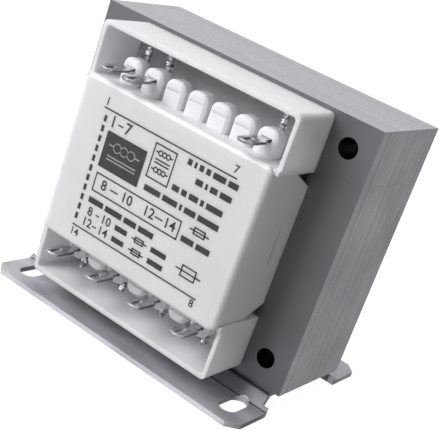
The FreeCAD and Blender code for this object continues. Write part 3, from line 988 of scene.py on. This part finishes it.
@dataclass
class Lugs:
    """The stamped lugs and the wire ends soldered round their posts."""

    numbers: tuple[tuple[int, Row], ...] = (
        (1, Row.UPPER),
        (2, Row.UPPER),
        (7, Row.UPPER),
        (14, Row.LOWER),
        (12, Row.LOWER),
        (10, Row.LOWER),
        (8, Row.LOWER),
    )
    edge_round: float = 0.1 * MM
    wire_radius: float = 0.17 * MM
    wire_sides: int = 12
    wrap_radius: float = 0.6 * MM
    wrap_length: float = 1.9 * MM
    turns: int = 3
    steps_per_turn: int = 20
    bare_tip: float = 0.45 * MM
    end_below_tip: float = 1.0 * MM
    wire_overlap: float = 0.3 * MM
    top_drop: tuple[float, float, float] = (0.52, 0.5, 0.62)
    top_drop_depth: float = 0.66 * MM
    side_drop: tuple[float, float, float] = (0.68, 0.64, 0.7)
    side_drop_place: tuple[float, float, float] = (0.14 * MM, -0.12 * MM, 0.8 * MM)
    seed: int = 23

    def build(self) -> None:
        """Build every lug and its soldered wire."""
        tin, solder = TIN.make(), SOLDER.make()
        for number, row in self.numbers:
            tab = softened_copy(f"lug_{number}", f"solder_lug_{number}", self.edge_round)
            finish_piece(tab, tin)
            wrap = self._soldered_wire(number, row)
            finish_piece(wrap, solder)
            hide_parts(f"lead_{number}")

    def _soldered_wire(self, number: int, row: Row) -> bpy.types.Object:
        """Wind the wire end round one post, with solder over it.

        Args:
            number: the pin's number.
            row: its row.

        Returns:
            The soldered wire.
        """
        draws = random.Random(self.seed + number)
        low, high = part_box(f"lead_{number}")
        up = row.value
        middle = Vector(((low.x + high.x) / 2, low.y + (high.x - low.x) / 2, 0.0))
        tip = high.z if up > 0 else low.z
        start = tip - up * (self.wrap_length + self.bare_tip)
        wire = self._wrap(draws, middle, start, up)
        aside, forward, rise = self.side_drop_place
        drops = [
            self._drop(draws, middle + Vector((0.0, 0.0, tip - up * self.top_drop_depth)), self.top_drop),
            self._drop(draws, middle + Vector((aside, forward, start + up * rise)), self.side_drop),
        ]
        foot = Vector((middle.x, high.y - self.wire_radius, low.z if up > 0 else high.z))
        head = Vector((foot.x, foot.y, start + up * self.wire_overlap))
        end = Vector((middle.x, middle.y, tip - up * self.end_below_tip))
        lean = Vector((draws.uniform(-0.6, 0.6), draws.uniform(-0.7, 0.2), 0.9 * up)) * MM
        tails = [self._straight(foot, head), self._straight(end, end + lean)]
        whole = join(f"soldered_wire_{number}", [wire, *drops, *tails])
        face_outwards(whole)
        smooth(whole, 60.0)
        self._keep_inside(whole, low, high)
        return whole

    def _wrap(self, draws: random.Random, middle: Vector, start: float, up: int) -> bpy.types.Object:
        """The uneven turns of wire.

        Args:
            draws: the seeded random source.
            middle: the post's centre line.
            start: height of the first turn.
            up: 1 for the upper row and -1 for the lower.

        Returns:
            The turns.
        """
        deselect_all()
        bpy.ops.mesh.primitive_circle_add(
            vertices=self.wire_sides,
            radius=self.wire_radius,
            fill_type="NGON",
            location=(self.wrap_radius, 0.0, 0.0),
            rotation=UPRIGHT,
        )
        wire = settle(bpy.context.object)
        winding = wire.modifiers.new("winding", "SCREW")
        winding.axis = "Z"
        winding.angle = 2.0 * math.pi
        winding.iterations = self.turns
        winding.steps = self.steps_per_turn
        winding.render_steps = self.steps_per_turn
        winding.screw_offset = up * self.wrap_length / self.turns
        winding.use_merge_vertices = True
        apply_all(wire)
        with editing(wire):
            bpy.ops.mesh.select_all(action="SELECT")
            bpy.ops.mesh.fill_holes(sides=self.wire_sides)
        phase = draws.uniform(0.0, math.tau)
        tilt = draws.uniform(-0.12, 0.12)
        for vertex in wire.data.vertices:
            climb = abs(vertex.co.z) / self.wrap_length
            swell = 1.0 + 0.08 * math.sin(7.0 * climb + phase) - 0.22 * climb
            vertex.co.z += tilt * vertex.co.x + 0.05 * MM * math.sin(13.0 * climb + phase)
            vertex.co.x *= swell
            vertex.co.y *= swell
        wire.location = (middle.x, middle.y, start)
        return settle(wire)

    @staticmethod
    def _drop(draws: random.Random, middle: Vector, size: tuple[float, float, float]) -> bpy.types.Object:
        """An uneven drop of solder.

        Args:
            draws: the seeded random source.
            middle: its middle.
            size: its half sizes, in millimetres.

        Returns:
            The drop.
        """
        deselect_all()
        bpy.ops.mesh.primitive_ico_sphere_add(subdivisions=4, radius=1.0, location=(0.0, 0.0, 0.0))
        drop = bpy.context.object
        phase = [draws.uniform(0.0, math.tau) for _ in range(3)]
        for vertex in drop.data.vertices:
            lumps = math.sin(4.1 * vertex.co.x + phase[0]) + math.sin(5.3 * vertex.co.y + phase[1])
            lumps += math.sin(6.7 * vertex.co.z + phase[2])
            vertex.co *= 1.0 + 0.09 * lumps
        drop.scale = Vector(size) * MM
        drop.location = middle
        return settle(drop)

    def _straight(self, first: Vector, second: Vector) -> bpy.types.Object:
        """A straight stretch of wire between two places.

        Args:
            first: one end.
            second: the other end.

        Returns:
            The stretch.
        """
        run = second - first
        deselect_all()
        bpy.ops.mesh.primitive_cylinder_add(
            vertices=14,
            radius=self.wire_radius,
            depth=run.length,
            location=(first + second) / 2,
            rotation=run.to_track_quat("Z", "Y").to_euler(),
        )
        return settle(bpy.context.object)

    @staticmethod
    def _keep_inside(piece: bpy.types.Object, low: Vector, high: Vector) -> None:
        """Hold every point inside the lead's own box."""
        for vertex in piece.data.vertices:
            for axis in range(3):
                vertex.co[axis] = min(max(vertex.co[axis], low[axis]), high[axis])


@dataclass
class CoverPrint:
    """Plain printing on the cover: rules, pin numbers, simple winding symbols and rows of bars.

    Places and sizes on the cover are in millimetres from the middle of its front face.
    """

    ink_depth: float = 0.015 * MM
    centre_z: float = 29.08
    line: float = 0.26
    digit: float = 1.95
    bar_height: float = 1.05
    bar_gap: float = 0.55
    face: float = field(default_factory=lambda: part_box("winding_cover")[0].y)
    dark: list[bpy.types.Object] = field(default_factory=list)
    pale: list[bpy.types.Object] = field(default_factory=list)

    def build(self, nylon: bpy.types.Material) -> None:
        """Print everything in dark ink, with the pale figure left open in the dark block.

        Args:
            nylon: the cover's own material, for the pale figure.
        """
        self._rules()
        self._numbers()
        self._block()
        self._diagram()
        self._frame_box()
        self._rows()
        finish_piece(join("cover_print", self.dark), INK.make())
        finish_piece(join("cover_print_opening", self.pale), nylon)

    def _at(self, x: float, z: float) -> Vector:
        """A place on the cover's front, in metres."""
        return Vector((x * MM, self.face, (self.centre_z + z) * MM))

    def _depth(self, pale: bool) -> float:
        """How far a mark stands proud; a pale one lies over the dark block."""
        return self.ink_depth * (2 if pale else 1)

    def _marks(self, pale: bool) -> list[bpy.types.Object]:
        """The marks of one colour so far."""
        return self.pale if pale else self.dark

    def _bar(self, x: float, z: float, width: float, height: float, pale: bool = False) -> None:
        """Print a filled bar.

        Args:
            x: its centre across the cover.
            z: its centre up the cover.
            width: its width.
            height: its height.
            pale: True for a bar that lies over the dark block.
        """
        half = Vector((width * MM / 2, self._depth(pale), height * MM / 2))
        self._marks(pale).append(add_box("print", self._at(x, z) - half, self._at(x, z) + half))

    def _ring(self, x: float, z: float, radius: float, pale: bool = False) -> None:
        """Print an open circle.

        Args:
            x: its centre across the cover.
            z: its centre up the cover.
            radius: its radius.
            pale: True for a circle that lies over the dark block.
        """
        deselect_all()
        bpy.ops.mesh.primitive_torus_add(
            location=self._at(x, z),
            rotation=UPRIGHT,
            major_segments=36,
            minor_segments=6,
            major_radius=radius * MM,
            minor_radius=self.line * MM / 2,
        )
        ring = settle(bpy.context.object)
        for vertex in ring.data.vertices:
            vertex.co.y = self.face + (vertex.co.y - self.face) * self._depth(pale) / (self.line * MM / 2)
        self._marks(pale).append(ring)

    def _number(self, text: str, x: float, z: float, size: float) -> None:
        """Print a plain number.

        Args:
            text: its digits.
            x: its centre across the cover.
            z: its centre up the cover.
            size: the height of the type.
        """
        deselect_all()
        bpy.ops.object.text_add(rotation=UPRIGHT)
        number = bpy.context.object
        number.data.body = text
        number.data.size = size * MM
        number.data.align_x = "CENTER"
        number.data.align_y = "CENTER"
        number.data.extrude = self.ink_depth
        number.data.offset = 0.012 * size * MM
        number.data.resolution_u = 3
        bpy.ops.object.convert(target="MESH")
        number = bpy.context.object
        number.location = self._at(x, z)
        self.dark.append(settle(number))

    def _outline(self, left: float, right: float, bottom: float, top: float) -> None:
        """Print a rectangular frame."""
        for z in (bottom, top):
            self._bar((left + right) / 2, z, right - left + self.line, self.line)
        for x in (left, right):
            self._bar(x, (bottom + top) / 2, self.line, top - bottom)

    def _coil(self, x: float, z: float, humps: int, radius: float, pale: bool = False) -> None:
        """Print a winding symbol: a row of rings with a straight lead at each end."""
        span = humps * radius * 2
        for step in range(humps):
            self._ring(x - span / 2 + radius * (2 * step + 1), z, radius, pale)
        for side in (-1, 1):
            self._bar(x + side * (span / 2 + radius * 0.7), z, radius * 1.4, self.line, pale)

    def _rules(self) -> None:
        """Print the two long rules and the dashed line at the left."""
        self._bar(0.25, 10.75, 29.2, self.line)
        self._bar(0.7, -11.25, 28.9, self.line)
        for step in range(11):
            self._bar(-13.45, 9.0 - 1.85 * step, 0.62, 1.15)

    def _numbers(self) -> None:
        """Print the pin numbers beside the rules."""
        for text, x, z in (("1", -13.9, 11.9), ("7", 14.2, 12.1), ("14", -12.9, -12.5), ("8", 14.5, -12.3)):
            self._number(text, x, z, self.digit)

    def _block(self) -> None:
        """Print the dark block with an open winding symbol in it."""
        self._bar(-7.6, 4.1, 9.1, 6.6)
        self._coil(-7.6, 5.2, 3, 0.8, pale=True)
        self._bar(-7.6, 3.3, 6.6, self.line, pale=True)
        self._bar(-7.6, 2.7, 6.6, self.line, pale=True)
        self._number("1", -11.6, 9.05, 2.9)
        self._bar(-9.9, 9.05, 1.2, self.line)
        self._number("7", -8.2, 9.05, 2.9)

    def _diagram(self) -> None:
        """Print the framed winding diagram: one winding above two core lines, two below."""
        self._outline(-1.9, 2.7, 3.6, 9.6)
        self._coil(0.4, 8.3, 3, 0.42)
        self._bar(0.4, 7.1, 3.2, self.line)
        self._bar(0.4, 6.5, 3.2, self.line)
        self._coil(0.4, 5.3, 3, 0.42)

    def _frame_box(self) -> None:
        """Print the wide framed field with pin numbers joined by lines."""
        self._outline(-11.8, 7.65, -3.7, -0.4)
        for text, x in (("8", -9.6), ("10", -4.2), ("12", 0.9), ("14", 5.6)):
            self._number(text, x, -2.05, 2.6)
        for x in (-7.2, 3.2):
            self._bar(x, -2.05, 1.8, self.line)

    def _rows(self) -> None:
        """Print the rows of plain bars and fuse symbols where ratings usually stand."""
        rows = (
            (5.1, 9.45, (0.9, 0.5, 0.9, 0.9, 2.6, 2.0)),
            (7.7, 7.05, (1.5, 0.5, 1.5, 2.4)),
            (3.7, 4.2, (1.5, 1.1, 1.9, 0.7, 3.4)),
            (-1.6, 1.7, (3.6, 3.2, 0.5, 2.4, 4.4)),
            (8.5, -2.9, (2.7, 2.9)),
            (-11.9, -5.5, (3.4, 3.9, 2.8, 3.4)),
        )
        for left, z, words in rows:
            for width in words:
                self._bar(left + width / 2, z, width, self.bar_height)
                left += width + self.bar_gap
        for first, second, z in (("8", "10", -7.6), ("12", "14", -9.75)):
            self._number(first, -10.8, z, 2.3)
            self._bar(-9.0, z, 0.9, self.line)
            self._number(second, -7.0, z, 2.3)
            self._bar(-3.4, z, 2.8, 0.95)
            self._fuse(0.9, z, 2.6, 0.9)
            self._bar(5.3, z, 3.4, 0.95)
        self._fuse(11.6, -0.6, 3.2, 1.1)
        self._fuse(12.1, -7.9, 4.2, 1.9)

    def _fuse(self, x: float, z: float, width: float, height: float) -> None:
        """Print a fuse symbol: a small frame with a line through it."""
        half = width / 2
        self._outline(x - half * 0.7, x + half * 0.7, z - height / 2, z + height / 2)
        self._bar(x, z, width * 1.3, self.line)


@dataclass
class Studio:
    """Floor, lamps, world and camera."""

    frame_width: int = 440
    frame_height: int = 430
    focal_px: float = 1075.5
    centre_px: tuple[float, float] = (217.37, 262.47)
    eye: tuple[float, float, float] = (95.09, -165.08, 88.48)
    right: tuple[float, float, float] = (0.7666, 0.5586, 0.3167)
    down: tuple[float, float, float] = (0.4597, -0.1329, -0.8781)
    ahead: tuple[float, float, float] = (-0.4484, 0.8187, -0.3587)
    sensor: float = 36.0
    lamps: tuple[tuple[str, tuple[float, float, float], float, float], ...] = (
        ("key", (-0.3, -0.5, 0.42), 0.42, 5.0),
        ("top", (-0.2, 0.14, 0.6), 0.5, 0.8),
        ("side", (0.6, -0.12, 0.3), 0.3, 0.3),
    )
    aim_height: float = 0.027
    floor_size: float = 40.0
    floor_drop: float = 0.05 * MM
    floor_level: float = 0.3
    floor_glow: float = 0.93
    sky_light: float = 0.22

    def build(self) -> None:
        """Set up everything that isn't the object."""
        bpy.context.scene.view_settings.view_transform = "Standard"
        self._camera()
        self._floor()
        self._world()
        for name, place, size, power in self.lamps:
            self._lamp(name, place, size, power)

    def _camera(self) -> None:
        """Place the camera as the photograph was taken."""
        data = bpy.data.cameras.new("camera")
        data.sensor_width = self.sensor
        data.lens = self.focal_px * self.sensor / self.frame_width
        data.shift_x = (self.frame_width / 2 - self.centre_px[0]) / self.frame_width
        data.shift_y = (self.centre_px[1] - self.frame_height / 2) / self.frame_width
        data.clip_start = 0.01
        camera = bpy.data.objects.new("camera", data)
        bpy.context.scene.collection.objects.link(camera)
        axes = Matrix((self.right, [-c for c in self.down], [-c for c in self.ahead])).transposed()
        camera.matrix_world = Matrix.Translation(Vector(self.eye) * MM) @ axes.to_4x4()
        bpy.context.scene.camera = camera

    @staticmethod
    def _seen_directly(tree: bpy.types.NodeTree) -> bpy.types.NodeSocket:
        """1 for camera, glossy and transmission rays, and 0 for the rest.

        Args:
            tree: a material's or the world's nodes.

        Returns:
            The socket that carries it.
        """
        path = tree.nodes.new("ShaderNodeLightPath")
        value = path.outputs["Is Camera Ray"]
        for name in ("Is Glossy Ray", "Is Transmission Ray"):
            value = maths(tree, "MAXIMUM", value, path.outputs[name])
        return value

    def _floor(self) -> None:
        """A wide pale floor that shows white and keeps the object's soft shadow."""
        deselect_all()
        bpy.ops.mesh.primitive_plane_add(size=self.floor_size, location=(0.0, 0.0, -self.floor_drop))
        floor = bpy.context.object
        floor.name = "floor"
        material = bpy.data.materials.new("pale_floor")
        material.use_nodes = True
        tree = material.node_tree
        shader = tree.nodes["Principled BSDF"]
        shader.inputs["Base Color"].default_value = (*grey(self.floor_level), 1.0)
        shader.inputs["Roughness"].default_value = 0.9
        shader.inputs["Specular IOR Level"].default_value = 0.1
        glow = maths(tree, "MULTIPLY", self._seen_directly(tree), self.floor_glow)
        shader.inputs["Emission Color"].default_value = (1.0, 1.0, 1.0, 1.0)
        tree.links.new(glow, shader.inputs["Emission Strength"])
        floor.data.materials.append(material)

    def _world(self) -> None:
        """A plain white surrounding, dimmer as a light than as a background."""
        world = bpy.data.worlds.new("studio")
        world.use_nodes = True
        bpy.context.scene.world = world
        tree = world.node_tree
        background = tree.nodes["Background"]
        background.inputs["Color"].default_value = (1.0, 1.0, 1.0, 1.0)
        strength = tree.nodes.new("ShaderNodeMapRange")
        strength.inputs["To Min"].default_value = self.sky_light
        strength.inputs["To Max"].default_value = 1.0
        tree.links.new(self._seen_directly(tree), strength.inputs["Value"])
        tree.links.new(strength.outputs["Result"], background.inputs["Strength"])

    def _lamp(self, name: str, place: tuple[float, float, float], size: float, power: float) -> None:
        """A square soft lamp that points at the object.

        Args:
            name: the lamp's name.
            place: where it stands, in metres.
            size: its side.
            power: its power in watts.
        """
        data = bpy.data.lights.new(name, "AREA")
        data.size = size
        data.energy = power
        lamp = bpy.data.objects.new(name, data)
        bpy.context.scene.collection.objects.link(lamp)
        lamp.location = place
        aim = Vector((0.0, 0.0, self.aim_height)) - Vector(place)
        lamp.rotation_euler = aim.to_track_quat("-Z", "Y").to_euler()


def main() -> None:
    """Build the sub-assemblies in order."""
    logging.basicConfig(level=logging.INFO, format="%(message)s")
    nylon = NYLON.make()
    Studio().build()
    LaminatedCore().build()
    MountingPlate().build()
    Mouldings().build(nylon)
    CoilLayers().build()
    Lugs().build()
    CoverPrint().build(nylon)


if __name__ == "__main__":
    main()
